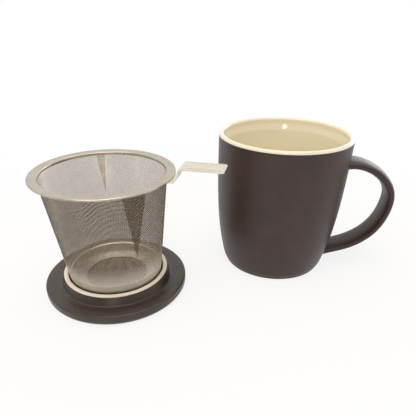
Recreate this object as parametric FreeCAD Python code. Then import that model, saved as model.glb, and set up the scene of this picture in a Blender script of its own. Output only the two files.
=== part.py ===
import FreeCAD, Part

import math
import os

# A tea mug with its lid and steel infuser, laid out as three loose things: the mug stands upright,
# the lid lies upside down to its left as a coaster, and the infuser stands in the lid's ring.
# Millimetres, +Z up. Each piece is made with the mug's axis at the origin, and at the end the whole
# set is moved so that the middle of its footprint on the table is the origin.

# Mug body
mug_height = 96.0
rim_radius = 45.0
wall_thickness = 4.5
lip_thickness = 3.4
lip_depth = 3.6
shoulder_length = 5.6
heel_radius = 38.2
heel_height = 4.0
wall_curve = 3.5
floor_thickness = 6.0
inner_corner_height = 15.0
foot_radius = 36.4
foot_step = 0.8
foot_ring_width = 4.0
foot_recess = 1.5
wall_stations = 9

# The dark outer glaze is a thin coat that stops short of the lip and of the foot
glaze_thickness = 0.35
glaze_foot_margin = 0.3

# Mug handle: a strap of clay in one upright plane, its middle line two curves that meet at the widest
# point, where they run straight down
handle_azimuth = -4.0
handle_width = 20.0
handle_thickness = 6.0
handle_squareness = 2.5
handle_reach = 32.6
handle_top_height = 76.6
handle_bottom_height = 9.6
handle_widest_height = 52.1
handle_shoulder_run = 13.8
handle_shoulder_lift = 3.5
handle_upper_fall = 14.2
handle_lower_fall = 25.2
handle_tail_run = 21.2
handle_tail_lift = 4.5
handle_root_depth = 3.0
handle_root_swell = 0.15
handle_root_length = 3.2
handle_sections = 15
section_points = 24

# Lid, as it lies: its smooth top face is down on the table and its ring points up
lid_x = -115.1
lid_y = -44.1
lid_radius = 48.5
lid_edge_height = 7.5
lid_edge_round = 1.0
lid_crown_inset = 1.6
lid_crown_height = 2.6
band_width = 4.4
band_dip = 0.35
band_dip_width = 3.4
ring_foot_radius = 38.0
ring_top_radius = 35.5
ring_wall = 2.8
ring_height = 13.1
bare_edge_depth = 0.5
bare_edge_crown = 0.45
ring_foot_round = 1.4
recess_floor_height = 6.4
recess_corner = 1.6

# Infuser
seat_clearance = 0.1
infuser_height = 76.0
sheet_thickness = 0.5
mesh_thickness = 0.35
mesh_fit = 0.05
mesh_low_radius = 31.1
mesh_top_radius = 39.1
mesh_lift = 0.5
grid_columns = 24
grid_rows = 7
grid_strand = 2.8
grid_border = 1.4
flange_radius = 44.2
flange_hem = 0.7
bead_width = 1.9
bead_rise = 0.3
collar_depth = 1.8
collar_bend = 0.8
mesh_tuck_gap = 0.3

# Pressed steel cup inside the foot of the mesh
cup_height = 11.8
cup_step_height = 7.6
cup_step_width = 0.8
cup_window_radius = 21.0
cup_floor_lift = 1.2
cup_foot_radius = 29.0
cup_foot_width = 1.6
cup_bend = 0.9
floor_mesh_overlap = 2.6

# The side mesh is lapped over itself in two long wedges that end in a point
front_lap_azimuth = -51.0
front_lap_width = 15.6
front_lap_length = 44.0
back_lap_azimuth = 107.0
back_lap_width = 6.0
back_lap_length = 28.0

# Flat steel strap, the infuser's handle
strap_azimuth = -10.0
strap_width = 14.0
strap_thickness = 1.0
strap_end_radius = 75.6
strap_rise = 7.5
strap_riser_radius = 45.9
strap_shoulder_radius = 49.4
strap_pad_radius = 40.6
strap_bend = 1.3
strap_corner = 2.6
frame_inset = 1.5
frame_line_width = 0.5
frame_line_depth = 0.12
frame_length = 22.0
weld_radius = 1.1
weld_spacing = 6.0
weld_inset = 1.8

# Places worked out from the sizes above
recess_radius = ring_top_radius - ring_wall
ring_bare_height = ring_height - bare_edge_depth
seat_height = recess_floor_height + seat_clearance
flange_height = seat_height + infuser_height
mesh_low_height = seat_height + mesh_lift
mesh_top_height = flange_height - sheet_thickness - mesh_tuck_gap
mesh_slope = (mesh_top_radius - mesh_low_radius) / (mesh_top_height - mesh_low_height)
grid_low_height = seat_height + cup_height + grid_border
grid_top_height = flange_height - collar_depth - grid_border
hem_height = flange_height - flange_hem
lip_height = mug_height - lip_thickness / 2.0
shoulder_high = mug_height - lip_depth
shoulder_low = shoulder_high - shoulder_length


def point(radius, height):
    return FreeCAD.Vector(radius, 0, height)


def outer_radius(height):
    """Radius of the mug's outside at a height above the heel."""
    left = 1.0 - (height - heel_height) / (mug_height - heel_height)
    return rim_radius - (rim_radius - heel_radius) * max(left, 0.0) ** wall_curve


def outer_slope(height):
    """How fast that radius grows with height."""
    step = 0.01
    return (outer_radius(height + step) - outer_radius(height - step)) / (2 * step)


def wall_edge(inset, low, high):
    """The mug's side curve, moved inward by inset, from the height low up to high."""
    heights = [low + (high - low) * i / (wall_stations - 1) for i in range(wall_stations)]
    curve = Part.BSplineCurve()
    curve.interpolate([point(outer_radius(z) - inset, z) for z in heights])
    return curve.toShape()


def shoulder_edge():
    """The slope inside the mouth, where the wall thickens below the lip."""
    spots = []
    for i in range(wall_stations):
        share = i / (wall_stations - 1)
        eased = share * share * (3.0 - 2.0 * share)
        height = shoulder_low + shoulder_length * share
        inset = wall_thickness + (lip_thickness - wall_thickness) * eased
        spots.append(point(outer_radius(height) - inset, height))
    curve = Part.BSplineCurve()
    curve.interpolate(spots)
    return curve.toShape()


def line(start, end):
    return Part.makeLine(start, end)


def revolve(edges):
    """Turns a closed half outline about the upright axis through the origin."""
    wire = Part.Wire(Part.__sortEdges__(edges))
    turned = Part.Face(wire).revolve(FreeCAD.Vector(0, 0, 0), FreeCAD.Vector(0, 0, 1), 360)
    return turned if turned.ShapeType == "Solid" else turned.Solids[0]


def inset_chain(corners, distance):
    """Moves an open chain of (radius, height, round) corners to its left, each leg by the distance."""
    spots = [FreeCAD.Vector(c[0], c[1], 0) for c in corners]
    legs = [(b - a).normalize() for a, b in zip(spots, spots[1:])]
    normals = [FreeCAD.Vector(-leg.y, leg.x, 0) for leg in legs]
    moved = []
    for i, spot in enumerate(spots):
        before = normals[max(i - 1, 0)]
        after = normals[min(i, len(normals) - 1)]
        shift = (before + after) * (distance / (1.0 + before.dot(after)))
        place = spot + shift
        turn = before.cross(after).z
        rounding = corners[i][2]
        if rounding > 0:
            rounding = rounding - distance if turn > 0 else rounding + distance
        moved.append((place.x, place.y, max(rounding, 0.0)))
    return moved


def chain_edges(corners):
    """Edges along an open chain of (radius, height, round) corners, each corner an arc if it has one."""
    spots = [point(c[0], c[1]) for c in corners]
    edges = []
    start = spots[0]
    for i in range(1, len(corners) - 1):
        rounding = corners[i][2]
        into = (spots[i] - spots[i - 1]).normalize()
        out = (spots[i + 1] - spots[i]).normalize()
        angle = into.getAngle(out)
        room = min((spots[i] - start).Length, (spots[i + 1] - spots[i]).Length) * 0.9
        trim = min(rounding * math.tan(angle / 2.0), room)
        if trim < 1e-4:
            edges.append(line(start, spots[i]))
            start = spots[i]
            continue
        arc_radius = trim / math.tan(angle / 2.0)
        begin = spots[i] - into * trim
        end = spots[i] + out * trim
        bisector = (out - into).normalize()
        centre = spots[i] + bisector * (arc_radius / math.cos(angle / 2.0))
        middle = centre - bisector * arc_radius
        edges.append(line(start, begin))
        edges.append(Part.Arc(begin, middle, end).toShape())
        start = end
    edges.append(line(start, spots[-1]))
    return edges


def sheet_edges(corners, thickness):
    """A closed outline of even thickness to the left of an open chain of corners."""
    inner = inset_chain(corners, thickness)
    first, last = corners[0], corners[-1]
    ends = [
        line(point(first[0], first[1]), point(inner[0][0], inner[0][1])),
        line(point(last[0], last[1]), point(inner[-1][0], inner[-1][1])),
    ]
    return chain_edges(corners) + chain_edges(inner) + ends


def to_lid(shape):
    """Moves a shape made about the origin to where the lid and the infuser are."""
    placed = shape.copy()
    placed.translate(FreeCAD.Vector(lid_x, lid_y, 0))
    return placed


def turned(shape, azimuth):
    placed = shape.copy()
    placed.rotate(FreeCAD.Vector(0, 0, 0), FreeCAD.Vector(0, 0, 1), azimuth)
    return placed


# Mug


def make_mug_cup():
    """The stoneware cup with its bare foot ring, cream inside and over the lip."""
    glaze_low = heel_height
    corner_top = floor_thickness + inner_corner_height
    inner_wall = wall_edge(wall_thickness, corner_top, shoulder_low)
    inner_lip = wall_edge(lip_thickness, shoulder_high, lip_height)
    lip_out = point(outer_radius(lip_height), lip_height)
    lip_in = point(outer_radius(lip_height) - lip_thickness, lip_height)
    lip_top = point(outer_radius(lip_height) - lip_thickness / 2.0, mug_height)
    coat_top = point(outer_radius(lip_height) - glaze_thickness, lip_height)
    coat_low = point(heel_radius - glaze_thickness, glaze_low)
    foot_top = point(foot_radius, foot_step)
    foot_low = point(foot_radius, 0)
    ring_in = point(foot_radius - foot_ring_width, 0)
    recess = point(foot_radius - foot_ring_width - foot_recess, foot_recess)
    # The inner corner is one arc that leaves the wall along its slope and meets the floor level
    slope = outer_slope(corner_top)
    lean = math.hypot(1.0, slope)
    corner_radius = inner_corner_height / (1.0 - slope / lean)
    start = point(outer_radius(corner_top) - wall_thickness, corner_top)
    centre = point(start.x - corner_radius / lean, floor_thickness + corner_radius)
    end = point(centre.x, floor_thickness)
    halfway = ((start - centre) + (end - centre)).normalize()
    corner = Part.Arc(start, centre + halfway * corner_radius, end).toShape()
    edges = [
        inner_lip,
        shoulder_edge(),
        inner_wall,
        corner,
        line(end, point(0, floor_thickness)),
        line(point(0, floor_thickness), point(0, foot_recess)),
        line(point(0, foot_recess), recess),
        line(recess, ring_in),
        line(ring_in, foot_low),
        line(foot_low, foot_top),
        line(foot_top, coat_low),
        wall_edge(glaze_thickness, glaze_low, lip_height),
        line(coat_top, lip_out),
        Part.Arc(lip_out, lip_top, lip_in).toShape(),
    ]
    return revolve(edges)


def make_mug_outer_glaze():
    """The dark matte coat on the outside, from just above the foot step to the lip."""
    slant = FreeCAD.Vector(heel_radius - glaze_thickness - foot_radius, 0, heel_height - foot_step)
    share = glaze_foot_margin / slant.Length
    inner_low = point(foot_radius, foot_step) + slant * share
    outward = FreeCAD.Vector(slant.z, 0, -slant.x).normalize()
    inner_heel = point(heel_radius - glaze_thickness, heel_height)
    outer_heel = point(heel_radius, heel_height)
    outer_low = inner_low + outward * glaze_thickness
    edges = [
        wall_edge(0.0, heel_height, lip_height),
        wall_edge(glaze_thickness, heel_height, lip_height),
        line(
            point(outer_radius(lip_height) - glaze_thickness, lip_height),
            point(outer_radius(lip_height), lip_height),
        ),
        line(inner_heel, inner_low),
        line(inner_low, outer_low),
        line(outer_low, outer_heel),
    ]
    return revolve(edges)


def mug_envelope():
    """Everything inside the mug's outer surface, to end the handle on."""
    edges = [
        wall_edge(0.0, heel_height, lip_height),
        line(point(outer_radius(lip_height), lip_height), point(0, lip_height)),
        line(point(0, lip_height), point(0, heel_height)),
        line(point(0, heel_height), point(heel_radius, heel_height)),
    ]
    return revolve(edges)


def bezier_point(poles, share):
    """Place and direction on one cubic curve."""
    a, b, c, d = poles
    rest = 1.0 - share
    place = a * rest**3 + b * (3 * rest**2 * share) + c * (3 * rest * share**2) + d * share**3
    heading = (b - a) * (3 * rest**2) + (c - b) * (6 * rest * share) + (d - c) * (3 * share**2)
    return place, heading.normalize()


def handle_section(place, heading, swell):
    """A rounded rectangle across the handle, as one closed smooth curve."""
    across = FreeCAD.Vector(0, 1, 0)
    outward = heading.cross(across).normalize()
    power = 2.0 / handle_squareness
    spots = []
    for i in range(section_points):
        angle = 2 * math.pi * i / section_points
        cosine = math.cos(angle)
        sine = math.sin(angle)
        side = math.copysign(abs(cosine) ** power, cosine) * handle_width / 2.0 * swell
        depth = math.copysign(abs(sine) ** power, sine) * handle_thickness / 2.0 * swell
        spots.append(place + across * side + outward * depth)
    curve = Part.BSplineCurve()
    curve.interpolate(spots, PeriodicFlag=True)
    return Part.Wire(curve.toShape())


def make_mug_handle():
    """The handle, lofted through sections along its middle line and ended on the mug's outside."""
    top_root = outer_radius(handle_top_height) - handle_root_depth
    bottom_root = outer_radius(handle_bottom_height) - handle_root_depth
    widest = point(rim_radius + handle_reach, handle_widest_height)
    upper = (
        point(top_root, handle_top_height),
        point(rim_radius + handle_shoulder_run, handle_top_height + handle_shoulder_lift),
        widest + FreeCAD.Vector(0, 0, handle_upper_fall),
        widest,
    )
    lower = (
        widest,
        widest - FreeCAD.Vector(0, 0, handle_lower_fall),
        point(bottom_root + handle_tail_run + handle_root_depth, handle_bottom_height + handle_tail_lift),
        point(bottom_root, handle_bottom_height),
    )
    samples = []
    half = handle_sections // 2
    for i in range(handle_sections):
        poles = upper if i < half else lower
        share = i / half if i < half else (i - half) / (handle_sections - 1 - half)
        samples.append(bezier_point(poles, share))
    wires = []
    for place, heading in samples:
        reach = min((place - samples[0][0]).Length, (place - samples[-1][0]).Length)
        beyond = max(reach - handle_root_depth, 0.0)
        swell = 1.0 + handle_root_swell * math.exp(-((beyond / handle_root_length) ** 2))
        wires.append(handle_section(place, heading, swell))
    loft = turned(Part.makeLoft(wires, True), handle_azimuth)
    pieces = loft.cut(mug_envelope()).Solids
    return max(pieces, key=lambda solid: solid.Volume)


# Lid


def lid_outside():
    """The lid's outside, from the ring's outer edge round to the middle of the face on the table."""
    band_inner = lid_radius - band_width
    dip_end = band_inner - band_dip_width
    return [
        (ring_top_radius, ring_bare_height, 0.0),
        (ring_foot_radius, lid_edge_height - band_dip, ring_foot_round),
        (dip_end, lid_edge_height - band_dip, ring_foot_round),
        (band_inner, lid_edge_height, ring_foot_round),
        (lid_radius, lid_edge_height, lid_edge_round),
        (lid_radius, lid_crown_height, lid_crown_height),
        (lid_radius - lid_crown_inset, 0.0, lid_crown_height),
        (0.0, 0.0, 0.0),
    ]


def lid_inside():
    """The recess, from the middle of its floor to the ring's inner edge."""
    return [
        (0.0, recess_floor_height, 0.0),
        (recess_radius, recess_floor_height, recess_corner),
        (recess_radius, ring_bare_height, 0.0),
    ]


def make_lid_disc():
    """The dark lid with its upright ring, up to the bare edge on the ring."""
    outside = lid_outside()
    inside = lid_inside()
    ends = [
        line(point(ring_top_radius, ring_bare_height), point(recess_radius, ring_bare_height)),
        line(point(0, 0), point(0, recess_floor_height)),
    ]
    return to_lid(revolve(chain_edges(outside) + chain_edges(inside) + ends))


def make_lid_bare_edge():
    """The unglazed cream edge that the lid stood on in the kiln, slightly crowned."""
    low_out = point(ring_top_radius, ring_bare_height)
    low_in = point(recess_radius, ring_bare_height)
    high_out = point(ring_top_radius, ring_height)
    high_in = point(recess_radius, ring_height)
    crown = point(ring_top_radius - ring_wall / 2.0, ring_height + bare_edge_crown)
    edges = [
        line(low_in, low_out),
        line(low_out, high_out),
        Part.Arc(high_out, crown, high_in).toShape(),
        line(high_in, low_in),
    ]
    return to_lid(revolve(edges))


# Infuser


def mesh_radius(height):
    """Outer radius of the side mesh at a height."""
    return mesh_low_radius + mesh_slope * (height - mesh_low_height)


def mesh_inner_radius(height):
    return mesh_radius(height) - mesh_thickness


def make_infuser_rim():
    """The stamped flange, with its collar turned down inside the mesh and its edge turned down outside."""
    collar_low = flange_height - collar_depth
    collar_out = mesh_inner_radius(flange_height) - mesh_fit
    corners = [
        (flange_radius, hem_height, 0.0),
        (flange_radius, flange_height + bead_rise, collar_bend),
        (flange_radius - bead_width / 2.0, flange_height + bead_rise, bead_width / 4.0),
        (flange_radius - bead_width, flange_height, bead_width / 4.0),
        (collar_out - sheet_thickness, flange_height, collar_bend),
        (mesh_inner_radius(collar_low) - mesh_fit - sheet_thickness, collar_low, 0.0),
    ]
    return to_lid(revolve(sheet_edges(corners, sheet_thickness)))


def cone_shell(low, high, inner_gap, thickness):
    """A shell parallel to the side mesh, its inner face inner_gap outside the mesh's outer face."""
    corners = [
        (mesh_radius(low) + inner_gap, low, 0.0),
        (mesh_radius(high) + inner_gap, high, 0.0),
        (mesh_radius(high) + inner_gap + thickness, high, 0.0),
        (mesh_radius(low) + inner_gap + thickness, low, 0.0),
    ]
    spots = [point(c[0], c[1]) for c in corners]
    return revolve([line(a, b) for a, b in zip(spots, spots[1:] + spots[:1])])


def grid_row(low, high):
    """Blocks for one row of openings in the side mesh, with even strands between them."""
    inner = mesh_inner_radius(low) - mesh_thickness
    outer = mesh_radius(high) + mesh_thickness
    corners = [point(inner, low), point(outer, low), point(outer, high), point(inner, high)]
    outline = Part.Face(Part.makePolygon(corners + corners[:1]))
    column_angle = 360.0 / grid_columns
    strand_angle = math.degrees(grid_strand / mesh_radius((low + high) / 2.0))
    block = outline.revolve(FreeCAD.Vector(0, 0, 0), FreeCAD.Vector(0, 0, 1), column_angle - strand_angle)
    return [turned(block, column_angle * i + strand_angle / 2.0) for i in range(grid_columns)]


def make_infuser_wall_mesh():
    """The tapering side, with a plain grid of openings in place of the many small holes of the mesh."""
    shell = cone_shell(mesh_low_height, mesh_top_height, -mesh_thickness, mesh_thickness)
    row_step = (grid_top_height - grid_low_height + grid_strand) / grid_rows
    blocks = []
    for i in range(grid_rows):
        low = grid_low_height + row_step * i
        blocks += grid_row(low, low + row_step - grid_strand)
    return to_lid(shell.cut(Part.makeCompound(blocks)).Solids[0])


def make_lap(azimuth, width, length):
    """A wedge of mesh that lies on the outside of the wall, widest under the flange."""
    tip = mesh_top_height - length
    shell = cone_shell(tip, mesh_top_height, 0.0, mesh_thickness)
    top_y = width / 2.0
    corners = [
        FreeCAD.Vector(0, 0, tip),
        FreeCAD.Vector(0, -top_y, mesh_top_height),
        FreeCAD.Vector(0, top_y, mesh_top_height),
    ]
    triangle = Part.Face(Part.makePolygon(corners + corners[:1]))
    wedge = triangle.extrude(FreeCAD.Vector(flange_radius, 0, 0))
    return to_lid(turned(shell.common(wedge).Solids[0], azimuth))


def make_infuser_base_cup():
    """The pressed cup inside the foot of the mesh, with a round window in its raised floor."""
    top = seat_height + cup_height
    step = seat_height + cup_step_height
    floor = seat_height + cup_floor_lift
    corners = [
        (cup_window_radius, floor, 0.0),
        (cup_foot_radius - cup_foot_width - cup_floor_lift, floor, cup_bend),
        (cup_foot_radius - cup_foot_width, seat_height, cup_bend),
        (cup_foot_radius, seat_height, cup_bend),
        (mesh_inner_radius(step) - mesh_fit - cup_step_width, step, cup_bend / 2.0),
        (mesh_inner_radius(step + cup_step_width) - mesh_fit, step + cup_step_width, cup_bend / 2.0),
        (mesh_inner_radius(top) - mesh_fit, top, 0.0),
    ]
    return to_lid(revolve(sheet_edges(corners, sheet_thickness)))


def make_infuser_floor_mesh():
    """The flat disc of mesh under the cup's window."""
    top = seat_height + cup_floor_lift
    radius = cup_window_radius + floor_mesh_overlap
    disc = Part.makeCylinder(radius, mesh_thickness, point(0, top - mesh_thickness))
    return to_lid(disc)


def strap_outline(inset, start):
    """The strap's end from above, inset all round, from the radius start outward."""
    half = strap_width / 2.0 - inset
    end = strap_end_radius - inset
    corner = strap_corner - inset
    diagonal = corner * (1.0 - math.sqrt(0.5))
    low = [FreeCAD.Vector(start, -half, 0), FreeCAD.Vector(end - corner, -half, 0)]
    high = [FreeCAD.Vector(end - corner, half, 0), FreeCAD.Vector(start, half, 0)]
    side = [FreeCAD.Vector(end, corner - half, 0), FreeCAD.Vector(end, half - corner, 0)]
    first = FreeCAD.Vector(end - diagonal, diagonal - half, 0)
    second = FreeCAD.Vector(end - diagonal, half - diagonal, 0)
    edges = [
        line(low[0], low[1]),
        Part.Arc(low[1], first, side[0]).toShape(),
        line(side[0], side[1]),
        Part.Arc(side[1], second, high[0]).toShape(),
        line(high[0], high[1]),
        line(high[1], low[0]),
    ]
    return Part.Face(Part.Wire(edges))


def make_infuser_strap():
    """One bent strip: a pad under the flange's edge, a riser outside it and a long flat grip."""
    top = flange_height + strap_rise
    corners = [
        (strap_end_radius, top, 0.0),
        (strap_shoulder_radius, top, strap_bend + strap_thickness),
        (strap_riser_radius, hem_height, strap_bend),
        (strap_pad_radius, hem_height, 0.0),
    ]
    side_view = Part.Face(Part.Wire(Part.__sortEdges__(sheet_edges(corners, strap_thickness))))
    side_view.translate(FreeCAD.Vector(0, -strap_width / 2.0, 0))
    strip = side_view.extrude(FreeCAD.Vector(0, strap_width, 0))
    plan = strap_outline(0.0, strap_pad_radius)
    plan.translate(FreeCAD.Vector(0, 0, hem_height - strap_thickness * 2.0))
    strip = strip.common(plan.extrude(FreeCAD.Vector(0, 0, top - hem_height + strap_thickness * 3.0)))
    # A fine pressed line follows the grip's edge
    start = strap_end_radius - frame_length
    outer = strap_outline(frame_inset, start)
    inner = strap_outline(frame_inset + frame_line_width, start + frame_line_width)
    groove = outer.cut(inner)
    groove.translate(FreeCAD.Vector(0, 0, top - frame_line_depth))
    strip = strip.cut(groove.extrude(FreeCAD.Vector(0, 0, strap_thickness)))
    return to_lid(turned(strip.Solids[0], strap_azimuth))


def make_infuser_spot_welds():
    """Two weld beads that join the strap's pad to the flange above it."""
    height = flange_height - sheet_thickness - hem_height
    welds = []
    for side in (-1, 1):
        place = FreeCAD.Vector(strap_pad_radius + weld_inset, side * weld_spacing / 2.0, hem_height)
        welds.append(to_lid(turned(Part.makeCylinder(weld_radius, height, place), strap_azimuth)))
    return Part.makeCompound(welds)


def centre_set(nodes):
    """Moves every piece so that the middle of the set's footprint is the origin."""
    box = Part.makeCompound(list(nodes.values())).optimalBoundingBox(False)
    for shape in nodes.values():
        shape.translate(FreeCAD.Vector(-box.Center.x, -box.Center.y, 0))
    print(f"mug axis at x {-box.Center.x:.3f}, y {-box.Center.y:.3f}")
    print(f"set is {box.XLength:.2f} x {box.YLength:.2f} x {box.ZLength:.2f}")


def main():
    nodes = {
        "mug_cup": make_mug_cup(),
        "mug_outer_glaze": make_mug_outer_glaze(),
        "mug_handle": make_mug_handle(),
        "lid_disc": make_lid_disc(),
        "lid_bare_edge": make_lid_bare_edge(),
        "infuser_rim": make_infuser_rim(),
        "infuser_wall_mesh": make_infuser_wall_mesh(),
        "infuser_front_lap": make_lap(front_lap_azimuth, front_lap_width, front_lap_length),
        "infuser_back_lap": make_lap(back_lap_azimuth, back_lap_width, back_lap_length),
        "infuser_base_cup": make_infuser_base_cup(),
        "infuser_floor_mesh": make_infuser_floor_mesh(),
        "infuser_strap": make_infuser_strap(),
        "infuser_spot_welds": make_infuser_spot_welds(),
    }
    centre_set(nodes)
    os.makedirs("parts", exist_ok=True)
    for name, shape in nodes.items():
        shape.exportStep(f"parts/{name}.step")
        box = shape.BoundBox
        print(
            f"{name}: {len(shape.Solids)} solid, {shape.Volume:.0f} mm3, valid {shape.isValid()}, "
            f"x {box.XMin:.1f} to {box.XMax:.1f}, y {box.YMin:.1f} to {box.YMax:.1f}, "
            f"z {box.ZMin:.2f} to {box.ZMax:.2f}"
        )


main()
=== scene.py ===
import math

import bmesh
import bpy
from mathutils import Matrix, Vector


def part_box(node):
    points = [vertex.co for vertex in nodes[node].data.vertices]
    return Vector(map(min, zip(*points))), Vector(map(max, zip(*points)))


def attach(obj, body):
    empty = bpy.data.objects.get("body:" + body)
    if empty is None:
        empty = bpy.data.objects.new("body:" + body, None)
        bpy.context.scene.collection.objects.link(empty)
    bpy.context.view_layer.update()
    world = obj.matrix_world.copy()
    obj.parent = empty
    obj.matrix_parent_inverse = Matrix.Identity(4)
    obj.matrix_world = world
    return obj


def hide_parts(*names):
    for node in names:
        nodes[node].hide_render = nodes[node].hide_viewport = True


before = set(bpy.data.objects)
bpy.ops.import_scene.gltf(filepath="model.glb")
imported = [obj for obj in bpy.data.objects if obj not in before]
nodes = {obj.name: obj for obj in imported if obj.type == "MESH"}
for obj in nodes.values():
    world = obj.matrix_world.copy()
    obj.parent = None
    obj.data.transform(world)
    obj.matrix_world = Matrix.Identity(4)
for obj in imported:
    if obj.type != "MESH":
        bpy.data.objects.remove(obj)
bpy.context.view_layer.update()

# A stoneware tea mug, its lid lying upside down as a coaster, and the steel infuser standing in the
# lid's ring. Sizes below are in millimetres and angles in degrees, and mm turns them into metres.
mm = 0.001


def axisOf(node):
    low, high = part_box(node)
    return Vector(((low.x + high.x) / 2, (low.y + high.y) / 2, 0))


mugAxis = axisOf("mug_outer_glaze")
lidAxis = axisOf("lid_disc")


def toLinear(hexColour):
    channels = [int(hexColour[i:i + 2], 16) / 255 for i in (1, 3, 5)]
    linear = [c / 12.92 if c <= 0.04045 else ((c + 0.055) / 1.055) ** 2.4 for c in channels]
    return (*linear, 1.0)


def addNode(tree, kind, settings=None, inputs=None):
    # An input is a plain value or another node's output, which gets linked
    node = tree.nodes.new(kind)
    for key, value in (settings or {}).items():
        setattr(node, key, value)
    for key, value in (inputs or {}).items():
        if isinstance(value, bpy.types.NodeSocket):
            tree.links.new(value, node.inputs[key])
        else:
            node.inputs[key].default_value = value
    return node


def startMaterial(name):
    material = bpy.data.materials.new(name)
    material.use_nodes = True
    tree = material.node_tree
    tree.nodes.clear()
    place = addNode(tree, "ShaderNodeTexCoord").outputs["Object"]
    return material, tree, place


def finishMaterial(tree, surface):
    addNode(tree, "ShaderNodeOutputMaterial", inputs={"Surface": surface})


# Camera, fitted to the photograph. Its place is measured from the mug's axis on the table
camera = {
    "place": (-46.84, -269.51, 164.06),
    "yaw": -1.94,
    "pitch": 33.63,
    "roll": 0.32,
    "focalPixels": 386.12,
    "centrePixel": (202.18, 267.19),
    "frameSide": 416,
    "sensorWidth": 36.0,
    "nearest": 10.0,
}

yaw, pitch, roll = (math.radians(camera[key]) for key in ("yaw", "pitch", "roll"))
ahead = Vector((math.sin(yaw) * math.cos(pitch), math.cos(yaw) * math.cos(pitch), -math.sin(pitch)))
level = Vector((math.cos(yaw), -math.sin(yaw), 0))
upright = level.cross(ahead)
across = level * math.cos(roll) + upright * math.sin(roll)
above = upright * math.cos(roll) - level * math.sin(roll)
turn = Matrix((across, above, -ahead)).transposed().to_4x4()
lens = bpy.data.cameras.new("cameraLens")
viewer = bpy.data.objects.new("camera", lens)
bpy.context.scene.collection.objects.link(viewer)
viewer.matrix_world = Matrix.Translation(mugAxis + Vector(camera["place"]) * mm) @ turn
lens.sensor_width = camera["sensorWidth"]
lens.lens = camera["focalPixels"] / camera["frameSide"] * camera["sensorWidth"]
lens.shift_x = (camera["frameSide"] / 2 - camera["centrePixel"][0]) / camera["frameSide"]
lens.shift_y = (camera["centrePixel"][1] - camera["frameSide"] / 2) / camera["frameSide"]
lens.clip_start = camera["nearest"] * mm
bpy.context.scene.camera = viewer
bpy.context.scene.view_settings.view_transform = "Standard"
print("camera placed")


# Room: a pale table that runs out to white, a white wall behind, a dimmer room in front, and soft
# lamps. Polished things mirror that wall and that room. Levels are for directions from the front
# (-Y) to the back (+Y)
room = {
    "tableColour": "#fafafa",
    "tableReach": 1600.0,
    "tableSides": 96,
    "tableRoughness": 0.6,
    "whiteFrom": 120.0,
    "whiteTo": 380.0,
    "shadowShare": 0.82,
    "roomColour": "#f8f5f0",
    "frontLevel": 0.40,
    "backLevel": 0.95,
    "levelSpan": (-0.5, 0.6),
    "mirrorFront": 0.45,
    "mirrorSpan": (-0.7, 0.1),
}
lamps = {
    "window": {
        "azimuth": 52,
        "height": 12,
        "distance": 950,
        "size": (460, 560),
        "power": 2.6,
        "colour": "#e4e8f8",
    },
    "overhead": {
        "azimuth": 250,
        "height": 76,
        "distance": 1000,
        "size": (900, 900),
        "power": 5.4,
        "colour": "#fff4e6",
    },
    "front": {
        "azimuth": 266,
        "height": 19,
        "distance": 1150,
        "size": (110, 150),
        "power": 0.9,
        "colour": "#fff6ea",
    },
}

tableMesh = bpy.data.meshes.new("table")
table = bpy.data.objects.new("table", tableMesh)
bpy.context.scene.collection.objects.link(table)
sheet = bmesh.new()
bmesh.ops.create_circle(
    sheet,
    cap_ends=True,
    segments=room["tableSides"],
    radius=room["tableReach"] * mm,
)
sheet.to_mesh(tableMesh)
sheet.free()


def seenDirectly(tree, rays):
    # One for rays of the camera, of mirror images and through glass, and nought for light that bounces
    cameraOrGloss = addNode(tree, "ShaderNodeMath", {"operation": "MAXIMUM"}, {
        0: rays.outputs["Is Camera Ray"],
        1: rays.outputs["Is Glossy Ray"],
    })
    anySight = addNode(tree, "ShaderNodeMath", {"operation": "MAXIMUM"}, {
        0: cameraOrGloss.outputs[0],
        1: rays.outputs["Is Transmission Ray"],
    })
    return anySight.outputs[0]


tableTop, tree, place = startMaterial("tableTop")
seen = seenDirectly(tree, addNode(tree, "ShaderNodeLightPath"))
away = addNode(tree, "ShaderNodeVectorMath", {"operation": "LENGTH"}, {0: place})
fading = addNode(tree, "ShaderNodeMapRange", {"interpolation_type": "SMOOTHSTEP"}, {
    "Value": away.outputs["Value"],
    "From Min": room["whiteFrom"] * mm,
    "From Max": room["whiteTo"] * mm,
    "To Min": room["shadowShare"],
    "To Max": 1.0,
})
whiteShare = addNode(tree, "ShaderNodeMath", {"operation": "MULTIPLY"}, {
    0: fading.outputs["Result"],
    1: seen,
})
painted = addNode(tree, "ShaderNodeBsdfDiffuse", inputs={
    "Color": toLinear(room["tableColour"]),
    "Roughness": room["tableRoughness"],
})
white = addNode(tree, "ShaderNodeEmission", inputs={"Color": (1, 1, 1, 1), "Strength": 1.0})
blended = addNode(tree, "ShaderNodeMixShader", inputs={
    0: whiteShare.outputs[0],
    1: painted.outputs[0],
    2: white.outputs[0],
})
finishMaterial(tree, blended.outputs[0])
tableMesh.materials.append(tableTop)

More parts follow.
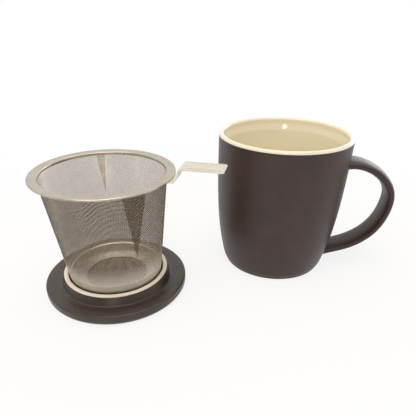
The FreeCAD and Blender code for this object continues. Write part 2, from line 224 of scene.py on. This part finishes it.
world = bpy.data.worlds.new("room")
bpy.context.scene.world = world
world.use_nodes = True
tree = world.node_tree
tree.nodes.clear()
rays = addNode(tree, "ShaderNodeLightPath")
direction = addNode(tree, "ShaderNodeTexCoord").outputs["Generated"]
facing = addNode(tree, "ShaderNodeSeparateXYZ", inputs={0: direction})
roomLevel = addNode(tree, "ShaderNodeMapRange", {"interpolation_type": "SMOOTHSTEP"}, {
    "Value": facing.outputs["Y"],
    "From Min": room["levelSpan"][0],
    "From Max": room["levelSpan"][1],
    "To Min": room["frontLevel"],
    "To Max": room["backLevel"],
})
air = addNode(tree, "ShaderNodeBackground", inputs={
    "Color": toLinear(room["roomColour"]),
    "Strength": roomLevel.outputs[0],
})
mirrored = addNode(tree, "ShaderNodeMapRange", {"interpolation_type": "SMOOTHSTEP"}, {
    "Value": facing.outputs["Y"],
    "From Min": room["mirrorSpan"][0],
    "From Max": room["mirrorSpan"][1],
    "To Min": room["mirrorFront"],
    "To Max": 1.0,
})
whiteLevel = addNode(tree, "ShaderNodeMath", {"operation": "MAXIMUM"}, {
    0: rays.outputs["Is Camera Ray"],
    1: mirrored.outputs[0],
})
backdrop = addNode(tree, "ShaderNodeBackground", inputs={
    "Color": (1, 1, 1, 1),
    "Strength": whiteLevel.outputs[0],
})
sky = addNode(tree, "ShaderNodeMixShader", inputs={
    0: seenDirectly(tree, rays),
    1: air.outputs[0],
    2: backdrop.outputs[0],
})
addNode(tree, "ShaderNodeOutputWorld", inputs={"Surface": sky.outputs[0]})

for name, lamp in lamps.items():
    light = bpy.data.lights.new(name, "AREA")
    light.shape = "RECTANGLE"
    light.size, light.size_y = (side * mm for side in lamp["size"])
    light.energy = lamp["power"]
    light.color = toLinear(lamp["colour"])[:3]
    holder = bpy.data.objects.new(name, light)
    bpy.context.scene.collection.objects.link(holder)
    azimuth, height = math.radians(lamp["azimuth"]), math.radians(lamp["height"])
    around = Vector((math.cos(azimuth), math.sin(azimuth), 0))
    outward = around * math.cos(height) + Vector((0, 0, math.sin(height)))
    holder.location = outward * lamp["distance"] * mm
    holder.rotation_euler = outward.to_track_quat("Z", "Y").to_euler()
print("room and lamps placed")


# Matte iron glaze over stoneware, sprayed on: charcoal brown with a faint red flush, a satin sheen at
# low angles and an eggshell skin of tiny dimples. The lid's batch is a little glossier and yellower
ironGlaze = {
    "mug": {"dark": "#352723", "flush": "#402e29", "gloss": (0.40, 0.50)},
    "lid": {"dark": "#382f26", "flush": "#493d32", "gloss": (0.32, 0.40)},
    "patch": 14.0,
    "patchDetail": 4.0,
    "patchRoughness": 0.6,
    "flushSpan": (0.35, 0.68),
    "glossSpan": (0.3, 0.7),
    "speck": "#5d5046",
    "speckSpacing": 0.9,
    "speckSpan": (0.16, 0.05),
    "speckShare": 0.35,
    "dimple": 0.7,
    "dimpleDetail": 3.0,
    "dimpleDepth": 0.012,
    "dimpleStrength": 0.6,
    "refraction": 1.5,
}


def makeIronGlaze(name, batch):
    material, tree, place = startMaterial(name)
    patches = addNode(tree, "ShaderNodeTexNoise", inputs={
        "Vector": place,
        "Scale": 1 / (ironGlaze["patch"] * mm),
        "Detail": ironGlaze["patchDetail"],
        "Roughness": ironGlaze["patchRoughness"],
    })
    flush = addNode(tree, "ShaderNodeMapRange", inputs={
        "Value": patches.outputs[0],
        "From Min": ironGlaze["flushSpan"][0],
        "From Max": ironGlaze["flushSpan"][1],
    })
    body = addNode(tree, "ShaderNodeMix", {"data_type": "RGBA"}, {
        0: flush.outputs[0],
        6: toLinear(batch["dark"]),
        7: toLinear(batch["flush"]),
    })
    # Iron specks under 0.3 mm across, a little coarser than life so that some show
    grains = addNode(tree, "ShaderNodeTexVoronoi", inputs={
        "Vector": place,
        "Scale": 1 / (ironGlaze["speckSpacing"] * mm),
    })
    specks = addNode(tree, "ShaderNodeMapRange", inputs={
        "Value": grains.outputs["Distance"],
        "From Min": ironGlaze["speckSpan"][0],
        "From Max": ironGlaze["speckSpan"][1],
        "To Max": ironGlaze["speckShare"],
    })
    colour = addNode(tree, "ShaderNodeMix", {"data_type": "RGBA"}, {
        0: specks.outputs[0],
        6: body.outputs[2],
        7: toLinear(ironGlaze["speck"]),
    })
    gloss = addNode(tree, "ShaderNodeMapRange", inputs={
        "Value": patches.outputs[0],
        "From Min": ironGlaze["glossSpan"][0],
        "From Max": ironGlaze["glossSpan"][1],
        "To Min": batch["gloss"][0],
        "To Max": batch["gloss"][1],
    })
    dimples = addNode(tree, "ShaderNodeTexNoise", inputs={
        "Vector": place,
        "Scale": 1 / (ironGlaze["dimple"] * mm),
        "Detail": ironGlaze["dimpleDetail"],
    })
    skin = addNode(tree, "ShaderNodeBump", inputs={
        "Strength": ironGlaze["dimpleStrength"],
        "Distance": ironGlaze["dimpleDepth"] * mm,
        "Height": dimples.outputs[0],
    })
    surface = addNode(tree, "ShaderNodeBsdfPrincipled", inputs={
        "Base Color": colour.outputs[2],
        "Roughness": gloss.outputs[0],
        "Normal": skin.outputs[0],
        "IOR": ironGlaze["refraction"],
    })
    finishMaterial(tree, surface.outputs[0])
    return material


# Clear gloss glaze over a cream slip: warm cream that turns darker towards the bottom, a few tan
# specks, a wet shine with a slow ripple, a dark line of the outer glaze over the foot, and bare sandy
# clay where the foot was wiped
creamGlaze = {
    "cream": "#faf3dc",
    "lowerTone": "#efe4c3",
    "speck": "#b79b6c",
    "clay": "#e6d5b4",
    "lowerToneFrom": 8.0,
    "lowerToneTo": 60.0,
    "speckSpacing": 3.2,
    "speckSpan": (0.07, 0.03),
    "speckShare": 0.45,
    "footGlaze": "#2e2624",
    "footGlazeTo": 1.1,
    "wipedTo": 0.15,
    "wipedBlend": 0.05,
    "ripple": 9.0,
    "rippleDetail": 1.0,
    "rippleDepth": 0.02,
    "rippleStrength": 0.5,
    "grit": 0.35,
    "gritDetail": 2.0,
    "gritDepth": 0.03,
    "gritStrength": 0.8,
    "shine": 0.09,
    "clayRoughness": 0.8,
    "refraction": 1.52,
}


def makeCreamGlaze():
    material, tree, place = startMaterial("creamGlossGlaze")
    height = addNode(tree, "ShaderNodeSeparateXYZ", inputs={0: place}).outputs["Z"]
    lowerShare = addNode(tree, "ShaderNodeMapRange", {"interpolation_type": "SMOOTHSTEP"}, {
        "Value": height,
        "From Min": creamGlaze["lowerToneTo"] * mm,
        "From Max": creamGlaze["lowerToneFrom"] * mm,
    })
    glaze = addNode(tree, "ShaderNodeMix", {"data_type": "RGBA"}, {
        0: lowerShare.outputs[0],
        6: toLinear(creamGlaze["cream"]),
        7: toLinear(creamGlaze["lowerTone"]),
    })
    grains = addNode(tree, "ShaderNodeTexVoronoi", inputs={
        "Vector": place,
        "Scale": 1 / (creamGlaze["speckSpacing"] * mm),
    })
    specks = addNode(tree, "ShaderNodeMapRange", inputs={
        "Value": grains.outputs["Distance"],
        "From Min": creamGlaze["speckSpan"][0],
        "From Max": creamGlaze["speckSpan"][1],
        "To Max": creamGlaze["speckShare"],
    })
    glazed = addNode(tree, "ShaderNodeMix", {"data_type": "RGBA"}, {
        0: specks.outputs[0],
        6: glaze.outputs[2],
        7: toLinear(creamGlaze["speck"]),
    })
    lowEdge = addNode(tree, "ShaderNodeMath", {"operation": "LESS_THAN"}, {
        0: height,
        1: creamGlaze["footGlazeTo"] * mm,
    })
    dipped = addNode(tree, "ShaderNodeMix", {"data_type": "RGBA"}, {
        0: lowEdge.outputs[0],
        6: glazed.outputs[2],
        7: toLinear(creamGlaze["footGlaze"]),
    })
    wiped = addNode(tree, "ShaderNodeMapRange", inputs={
        "Value": height,
        "From Min": (creamGlaze["wipedTo"] + creamGlaze["wipedBlend"]) * mm,
        "From Max": creamGlaze["wipedTo"] * mm,
    })
    colour = addNode(tree, "ShaderNodeMix", {"data_type": "RGBA"}, {
        0: wiped.outputs[0],
        6: dipped.outputs[2],
        7: toLinear(creamGlaze["clay"]),
    })
    shine = addNode(tree, "ShaderNodeMapRange", inputs={
        "Value": wiped.outputs[0],
        "To Min": creamGlaze["shine"],
        "To Max": creamGlaze["clayRoughness"],
    })
    ripples = addNode(tree, "ShaderNodeTexNoise", inputs={
        "Vector": place,
        "Scale": 1 / (creamGlaze["ripple"] * mm),
        "Detail": creamGlaze["rippleDetail"],
    })
    wave = addNode(tree, "ShaderNodeBump", inputs={
        "Strength": creamGlaze["rippleStrength"],
        "Distance": creamGlaze["rippleDepth"] * mm,
        "Height": ripples.outputs[0],
    })
    grit = addNode(tree, "ShaderNodeTexNoise", inputs={
        "Vector": place,
        "Scale": 1 / (creamGlaze["grit"] * mm),
        "Detail": creamGlaze["gritDetail"],
    })
    sand = addNode(tree, "ShaderNodeMath", {"operation": "MULTIPLY"}, {
        0: grit.outputs[0],
        1: wiped.outputs[0],
    })
    skin = addNode(tree, "ShaderNodeBump", inputs={
        "Strength": creamGlaze["gritStrength"],
        "Distance": creamGlaze["gritDepth"] * mm,
        "Height": sand.outputs[0],
        "Normal": wave.outputs[0],
    })
    surface = addNode(tree, "ShaderNodeBsdfPrincipled", inputs={
        "Base Color": colour.outputs[2],
        "Roughness": shine.outputs[0],
        "Normal": skin.outputs[0],
        "IOR": creamGlaze["refraction"],
    })
    finishMaterial(tree, surface.outputs[0])
    return material


# Fired clay with no glaze, rubbed smooth where the lid stood in the kiln: pale cream, dry and
# slightly sandy
bareClay = {
    "clay": "#fff5e3",
    "shade": "#f6e6cb",
    "patch": 7.0,
    "patchDetail": 5.0,
    "patchRoughness": 0.65,
    "shadeSpan": (0.45, 0.72),
    "shadeShare": 0.6,
    "grit": 0.3,
    "gritDetail": 3.0,
    "gritDepth": 0.03,
    "gritStrength": 0.7,
    "roughness": 0.72,
    "refraction": 1.5,
}


def makeBareClay():
    material, tree, place = startMaterial("bareFiredClay")
    patches = addNode(tree, "ShaderNodeTexNoise", inputs={
        "Vector": place,
        "Scale": 1 / (bareClay["patch"] * mm),
        "Detail": bareClay["patchDetail"],
        "Roughness": bareClay["patchRoughness"],
    })
    wearAndPaintedLight = addNode(tree, "ShaderNodeMapRange", inputs={
        "Value": patches.outputs[0],
        "From Min": bareClay["shadeSpan"][0],
        "From Max": bareClay["shadeSpan"][1],
        "To Max": bareClay["shadeShare"],
    })
    colour = addNode(tree, "ShaderNodeMix", {"data_type": "RGBA"}, {
        0: wearAndPaintedLight.outputs[0],
        6: toLinear(bareClay["clay"]),
        7: toLinear(bareClay["shade"]),
    })
    grit = addNode(tree, "ShaderNodeTexNoise", inputs={
        "Vector": place,
        "Scale": 1 / (bareClay["grit"] * mm),
        "Detail": bareClay["gritDetail"],
    })
    skin = addNode(tree, "ShaderNodeBump", inputs={
        "Strength": bareClay["gritStrength"],
        "Distance": bareClay["gritDepth"] * mm,
        "Height": grit.outputs[0],
    })
    surface = addNode(tree, "ShaderNodeBsdfPrincipled", inputs={
        "Base Color": colour.outputs[2],
        "Roughness": bareClay["roughness"],
        "Normal": skin.outputs[0],
        "IOR": bareClay["refraction"],
    })
    finishMaterial(tree, surface.outputs[0])
    return material


# Stainless steel sheet, pressed and satin polished. Turned pieces keep fine rings from the polishing
# wheel, and the strap is brushed along its length. Ring and brush lines are drawn about twice as
# coarse as real ones so that they show
satinSteel = {
    "turned": {"tones": ("#c8c0b0", "#b4ab9a"), "lines": "rings", "gloss": (0.24, 0.34)},
    # The drawn tones are near white, lighter than the other steel: painted light on the base cup,
    # which sits in shade behind the mesh and inside the lid's ring
    "drawn": {"tones": ("#f7f3ed", "#ede8e0"), "lines": "rings", "gloss": (0.30, 0.40)},
    "brushed": {"tones": ("#ebe3d2", "#dcd2c0"), "lines": "brush", "gloss": (0.24, 0.34)},
    "smudgeSize": 9.0,
    "smudgeDetail": 3.0,
    "glossSpan": (0.3, 0.7),
    "ringPitch": 0.55,
    "ringDepth": 0.0008,
    "ringWobble": 0.6,
    "ringDetail": 2.0,
    "ringDetailScale": 0.2,
    "brushAzimuth": -10.0,
    "brushPitch": 0.16,
    "brushLength": 14.0,
    "brushDetail": 3.0,
    "brushDepth": 0.001,
    "lineStrength": 0.6,
    "glossStretch": 0.35,
}


def makeSatinSteel(name, sheet):
    material, tree, place = startMaterial(name)
    smudges = addNode(tree, "ShaderNodeTexNoise", inputs={
        "Vector": place,
        "Scale": 1 / (satinSteel["smudgeSize"] * mm),
        "Detail": satinSteel["smudgeDetail"],
    })
    colour = addNode(tree, "ShaderNodeMix", {"data_type": "RGBA"}, {
        0: smudges.outputs[0],
        6: toLinear(sheet["tones"][0]),
        7: toLinear(sheet["tones"][1]),
    })
    centred = addNode(tree, "ShaderNodeVectorMath", {"operation": "SUBTRACT"}, {
        0: place,
        1: tuple(lidAxis),
    })
    if sheet["lines"] == "rings":
        # At a scale of one, the wave has twenty rings in a length of two pi
        wobble = addNode(tree, "ShaderNodeTexWave", {"wave_type": "RINGS", "rings_direction": "Z"}, {
            "Vector": centred.outputs[0],
            "Scale": 2 * math.pi / (20 * satinSteel["ringPitch"] * mm),
            "Distortion": satinSteel["ringWobble"],
            "Detail": satinSteel["ringDetail"],
            "Detail Scale": satinSteel["ringDetailScale"],
        })
        height, depth = wobble.outputs["Fac"], satinSteel["ringDepth"]
    else:
        length, pitch = satinSteel["brushLength"] * mm, satinSteel["brushPitch"] * mm
        along = addNode(tree, "ShaderNodeMapping", {"vector_type": "TEXTURE"}, {
            "Vector": centred.outputs[0],
            "Rotation": (0, 0, math.radians(satinSteel["brushAzimuth"])),
            "Scale": (length, pitch, length),
        })
        brushed = addNode(tree, "ShaderNodeTexNoise", inputs={
            "Vector": along.outputs[0],
            "Scale": 1.0,
            "Detail": satinSteel["brushDetail"],
        })
        height, depth = brushed.outputs[0], satinSteel["brushDepth"]
    skin = addNode(tree, "ShaderNodeBump", inputs={
        "Strength": satinSteel["lineStrength"],
        "Distance": depth * mm,
        "Height": height,
    })
    gloss = addNode(tree, "ShaderNodeMapRange", inputs={
        "Value": smudges.outputs[0],
        "From Min": satinSteel["glossSpan"][0],
        "From Max": satinSteel["glossSpan"][1],
        "To Min": sheet["gloss"][0],
        "To Max": sheet["gloss"][1],
    })
    surface = addNode(tree, "ShaderNodeBsdfPrincipled", inputs={
        "Base Color": colour.outputs[2],
        "Metallic": 1.0,
        "Roughness": gloss.outputs[0],
        "Normal": skin.outputs[0],
        "Anisotropic": satinSteel["glossStretch"],
    })
    finishMaterial(tree, surface.outputs[0])
    return material


# Fine stainless filter mesh with patches of the brown bloom of use. Its outward faces take a dark
# copy, painted shade, and its inward faces a bright copy, painted light, so the far wall looks pale
# through the mouth. Both turn pale towards the foot, painted light
filterSteel = {
    "outside": {"wire": "#655542", "bloom": "#524434", "paintedLightLow": "#dfd7cc", "gloss": (0.36, 0.50)},
    "inside": {"wire": "#dacfbd", "bloom": "#c6baa7", "paintedLightLow": "#e6dfd5", "gloss": (0.30, 0.42)},
    "patch": 5.0,
    "patchDetail": 4.0,
    "grain": 0.25,
    "grainDetail": 2.0,
    "bloomSpan": (0.12, 0.4),
    "glossSpan": (0.3, 0.7),
    # Heights between which the mesh turns pale towards the foot, painted light
    "paintedLightFrom": 34.0,
    "paintedLightTo": 15.0,
}


def makeFilterSteel(name, side):
    material, tree, place = startMaterial(name)
    height = addNode(tree, "ShaderNodeSeparateXYZ", inputs={0: place}).outputs["Z"]
    patches = addNode(tree, "ShaderNodeTexNoise", inputs={
        "Vector": place,
        "Scale": 1 / (filterSteel["patch"] * mm),
        "Detail": filterSteel["patchDetail"],
    })
    grain = addNode(tree, "ShaderNodeTexNoise", inputs={
        "Vector": place,
        "Scale": 1 / (filterSteel["grain"] * mm),
        "Detail": filterSteel["grainDetail"],
    })
    blend = addNode(tree, "ShaderNodeMath", {"operation": "MULTIPLY"}, {
        0: patches.outputs[0],
        1: grain.outputs[0],
    })
    share = addNode(tree, "ShaderNodeMapRange", inputs={
        "Value": blend.outputs[0],
        "From Min": filterSteel["bloomSpan"][0],
        "From Max": filterSteel["bloomSpan"][1],
    })
    colour = addNode(tree, "ShaderNodeMix", {"data_type": "RGBA"}, {
        0: share.outputs[0],
        6: toLinear(side["wire"]),
        7: toLinear(side["bloom"]),
    })
    # Pale towards the foot: painted light on the low mesh, which sits in shade
    paintedLightLow = addNode(tree, "ShaderNodeMapRange", {"interpolation_type": "SMOOTHSTEP"}, {
        "Value": height,
        "From Min": filterSteel["paintedLightFrom"] * mm,
        "From Max": filterSteel["paintedLightTo"] * mm,
    })
    wearAndPaintedLight = addNode(tree, "ShaderNodeMix", {"data_type": "RGBA"}, {
        0: paintedLightLow.outputs[0],
        6: colour.outputs[2],
        7: toLinear(side["paintedLightLow"]),
    })
    gloss = addNode(tree, "ShaderNodeMapRange", inputs={
        "Value": patches.outputs[0],
        "From Min": filterSteel["glossSpan"][0],
        "From Max": filterSteel["glossSpan"][1],
        "To Min": side["gloss"][0],
        "To Max": side["gloss"][1],
    })
    surface = addNode(tree, "ShaderNodeBsdfPrincipled", inputs={
        "Base Color": wearAndPaintedLight.outputs[2],
        "Metallic": 1.0,
        "Roughness": gloss.outputs[0],
    })
    finishMaterial(tree, surface.outputs[0])
    return material


mugIron = makeIronGlaze("matteIronGlaze", ironGlaze["mug"])
lidIron = makeIronGlaze("satinIronGlaze", ironGlaze["lid"])
creamGloss = makeCreamGlaze()
firedClay = makeBareClay()
ringedSteel = makeSatinSteel("turnedSatinSteel", satinSteel["turned"])
# The base cup's near-white steel is painted light
paintedLightDrawnSteel = makeSatinSteel("paintedLightCupSteel", satinSteel["drawn"])
brushedSteel = makeSatinSteel("brushedStrapSteel", satinSteel["brushed"])
# Outward faces get the dark copy as painted shade, inward faces the bright copy as painted light
outerMeshSteel = makeFilterSteel("paintedShadeFilterSteel", filterSteel["outside"])
innerMeshSteel = makeFilterSteel("paintedLightFilterSteel", filterSteel["inside"])
finishes = {
    "mug_cup": creamGloss,
    "mug_outer_glaze": mugIron,
    "mug_handle": mugIron,
    "lid_disc": lidIron,
    "lid_bare_edge": firedClay,
    "infuser_rim": ringedSteel,
    "infuser_base_cup": paintedLightDrawnSteel,
    "infuser_strap": brushedSteel,
    "infuser_spot_welds": brushedSteel,
}
for name, material in finishes.items():
    nodes[name].data.materials.clear()
    nodes[name].data.materials.append(material)
print("glazes, clay and steel made")


# Filter mesh: stout wires in rows on the bias, with finer wires across them, cut from one flat sheet
# and rolled into the cone. Real rows lie about half as far apart, and these are coarser so that they
# show. A wire is drawn in straight steps, and the laps lie a hair off the wall
filterMesh = {
    "rowPitch": 0.8,
    "rowWire": 0.42,
    "crossPitch": 0.5,
    "crossWire": 0.16,
    "wireRise": 0.05,
    "wireStep": 3.0,
    "rowTurn": 30.0,
    "lapTurn": 75.0,
    "floorTurn": 28.0,
    "lowRadius": 31.1,
    "topRadius": 39.1,
    "sheetThickness": 0.35,
    "lapGap": 0.02,
    "seamAzimuth": -51.0,
}


def layWires(reachX, reachY, turnAngle, keep):
    # Straight wires of diamond section over a flat patch. A point is (x, y, height over the sheet)
    step, rise = filterMesh["wireStep"], filterMesh["wireRise"]
    middle = Vector(((reachX[0] + reachX[1]) / 2, (reachY[0] + reachY[1]) / 2))
    halfDiagonal = math.hypot(reachX[1] - reachX[0], reachY[1] - reachY[0]) / 2
    steps = int(halfDiagonal / step) + 1
    points, faces = [], []
    for kind, side, turn in (("row", 1, turnAngle), ("cross", -1, turnAngle + 90)):
        pitch, half = filterMesh[kind + "Pitch"], filterMesh[kind + "Wire"] / 2
        along = Vector((math.cos(math.radians(turn)), math.sin(math.radians(turn))))
        across = Vector((-along.y, along.x))
        level = side * rise / 2
        profile = ((-half, level), (0, level + rise), (half, level), (0, level - rise))
        count = int(halfDiagonal / pitch) + 1
        for i in range(-count, count + 1):
            last = None
            for k in range(-steps, steps):
                start = middle + across * (i * pitch) + along * (k * step)
                centre = start + along * (step / 2)
                inX = reachX[0] <= centre.x <= reachX[1]
                inY = reachY[0] <= centre.y <= reachY[1]
                if not (inX and inY and keep(centre)):
                    last = None
                    continue
                if last is None:
                    last = len(points)
                    points += [(*(start + across * off), height) for off, height in profile]
                end = start + along * step
                first = len(points)
                points += [(*(end + across * off), height) for off, height in profile]
                for j in range(4):
                    n = (j + 1) % 4
                    faces.append((last + j, last + n, first + n, first + j))
                last = first
    return points, faces


def cutAway(work, point, outward):
    # Removes what lies on the outward side of a plane
    everything = list(work.verts) + list(work.edges) + list(work.faces)
    bmesh.ops.bisect_plane(work, geom=everything, plane_co=point, plane_no=outward, clear_outer=True)


def finishMesh(name, work, node):
    mesh = bpy.data.meshes.new(name)
    for vertex in work.verts:
        vertex.co = vertex.co * mm
    work.to_mesh(mesh)
    work.free()
    mesh.shade_flat()
    mesh.materials.append(outerMeshSteel)
    mesh.materials.append(innerMeshSteel)
    piece = bpy.data.objects.new(name, mesh)
    bpy.context.scene.collection.objects.link(piece)
    piece.location = lidAxis
    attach(piece, "infuser")
    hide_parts(node)
    return piece


wallLow, wallHigh = (corner.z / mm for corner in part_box("infuser_wall_mesh"))
lean = math.atan((filterMesh["topRadius"] - filterMesh["lowRadius"]) / (wallHigh - wallLow))
sheetMiddle = filterMesh["sheetThickness"] / 2
lowReach = (filterMesh["lowRadius"] - sheetMiddle / math.cos(lean)) / math.sin(lean)
highReach = lowReach + (wallHigh - wallLow) / math.cos(lean)
halfTurn = math.pi * math.sin(lean)


def rollUp(work, centreAngle, lift):
    # The flat sheet's polar angle, from its own +Y, becomes the angle round the cone
    for vertex in work.verts:
        x, y, height = vertex.co
        height += lift
        reach = math.hypot(x, y)
        angle = centreAngle - math.atan2(x, y) / math.sin(lean)
        radius = reach * math.sin(lean) + height * math.cos(lean)
        z = wallLow + (reach - lowReach) * math.cos(lean) - height * math.sin(lean)
        vertex.co = (radius * math.cos(angle), radius * math.sin(angle), z)


def fromPoints(points, faces):
    # A wire's first two sides face up from the flat sheet, which is outward once it is on the cone
    mesh = bpy.data.meshes.new("flatSheet")
    mesh.from_pydata(points, [], faces)
    work = bmesh.new()
    work.from_mesh(mesh)
    bpy.data.meshes.remove(mesh)
    # Outward sides take the painted shade copy of the steel, inward sides the painted light copy
    for i, face in enumerate(work.faces):
        face.material_index = 0 if i % 4 < 2 else 1
    return work


def makeWall():
    spare = filterMesh["wireStep"]
    wide = highReach * math.sin(halfTurn) + spare
    lowest = lowReach * math.cos(halfTurn) - spare

    def keep(spot):
        reach = spot.length
        inside = abs(math.atan2(spot.x, spot.y)) * reach < halfTurn * reach + spare
        return inside and lowReach - spare < reach < highReach + spare

    reachY = (lowest, highReach + spare)
    points, faces = layWires((-wide, wide), reachY, filterMesh["rowTurn"], keep)
    work = fromPoints(points, faces)
    for side in (-1, 1):
        outward = Vector((side * math.cos(halfTurn), -math.sin(halfTurn), 0))
        cutAway(work, (0, 0, 0), outward)
    rollUp(work, math.radians(filterMesh["seamAzimuth"]) + math.pi, 0.0)
    cutAway(work, (0, 0, wallLow), (0, 0, -1))
    cutAway(work, (0, 0, wallHigh), (0, 0, 1))
    bmesh.ops.recalc_face_normals(work, faces=work.faces)
    return finishMesh("filterWall", work, "infuser_wall_mesh")


# Two wedges of double mesh that come to a point, the front one over the seam and the other on the
# far side
laps = {
    "filterFrontLap": {"node": "infuser_front_lap", "azimuth": -51.0, "width": 15.6, "length": 44.0},
    "filterBackLap": {"node": "infuser_back_lap", "azimuth": 107.0, "width": 6.0, "length": 28.0},
}


def makeLap(name, lap):
    spare = filterMesh["wireStep"]
    half = lap["width"] / 2 + spare
    tip = wallHigh - lap["length"]
    tipReach = lowReach + (tip - wallLow) / math.cos(lean)
    reachY = (tipReach - spare, highReach + spare)
    points, faces = layWires((-half, half), reachY, filterMesh["lapTurn"], lambda spot: True)
    work = fromPoints(points, faces)
    rollUp(work, 0.0, filterMesh["sheetThickness"] + filterMesh["lapGap"])
    for side in (-1, 1):
        edge = Vector((0, side * lap["width"] / 2, lap["length"]))
        cutAway(work, (0, 0, tip), edge.cross(Vector((side, 0, 0))))
    cutAway(work, (0, 0, wallHigh), (0, 0, 1))
    spin = Matrix.Rotation(math.radians(lap["azimuth"]), 3, "Z")
    bmesh.ops.rotate(work, cent=(0, 0, 0), matrix=spin, verts=work.verts)
    bmesh.ops.recalc_face_normals(work, faces=work.faces)
    return finishMesh(name, work, lap["node"])


def makeFloor():
    low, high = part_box("infuser_floor_mesh")
    radius = (high.x - low.x) / 2 / mm
    reach, inner = (-radius, radius), radius - filterMesh["wireStep"] / 2
    points, faces = layWires(reach, reach, filterMesh["floorTurn"], lambda spot: spot.length < inner)
    work = fromPoints(points, faces)
    for vertex in work.verts:
        vertex.co.z += (low.z + high.z) / 2 / mm
    bmesh.ops.recalc_face_normals(work, faces=work.faces)
    return finishMesh("filterFloor", work, "infuser_floor_mesh")


wall = makeWall()
for name, lap in laps.items():
    makeLap(name, lap)
makeFloor()
print("filter mesh rolled,", len(wall.data.polygons), "faces in the wall")
